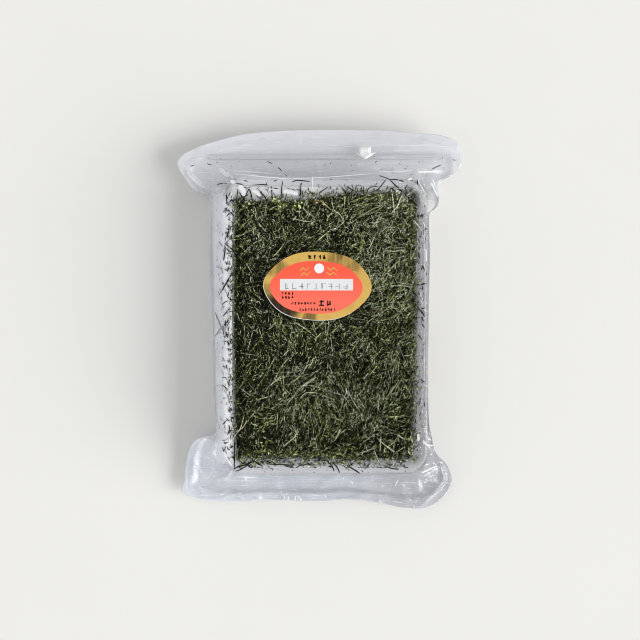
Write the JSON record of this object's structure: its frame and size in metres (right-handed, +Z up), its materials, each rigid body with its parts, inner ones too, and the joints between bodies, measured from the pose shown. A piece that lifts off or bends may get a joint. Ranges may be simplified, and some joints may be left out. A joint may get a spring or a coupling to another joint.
{
  "type": "sealed pouch of shredded nori in a clear tray",
  "caption": "Flat-lying clear zip pouch around a clear tray heaped with fine shredded nori, with a blank oval foil label on its front.",
  "frame": {"origin": "bottom centre of the pack's box, on the surface that it lies on", "axes": "+Z up out of the front film, +Y along the pouch towards its zip end, +X across it to the right as the label is read"},
  "size_m": [0.2126, 0.2862, 0.0392],
  "materials": {
    "nori": "dried seaweed: near-black green to olive, in thin shreds with a soft sheen",
    "tray_plastic": "clear thermoformed sheet, glossy",
    "film": "clear packing film, glossy with fine creases, faintly lilac where it is doubled",
    "label_foil": "gold foil sticker with a coral red oval printed on it"
  },
  "bodies": {
    "root": {"shredded_nori": "nori", "tray": "tray_plastic", "pouch_front_film": "film", "pouch_back_film": "film", "zip_tongue": "film", "zip_channel": "film", "label": "label_foil"}
  },
  "joints": []
}
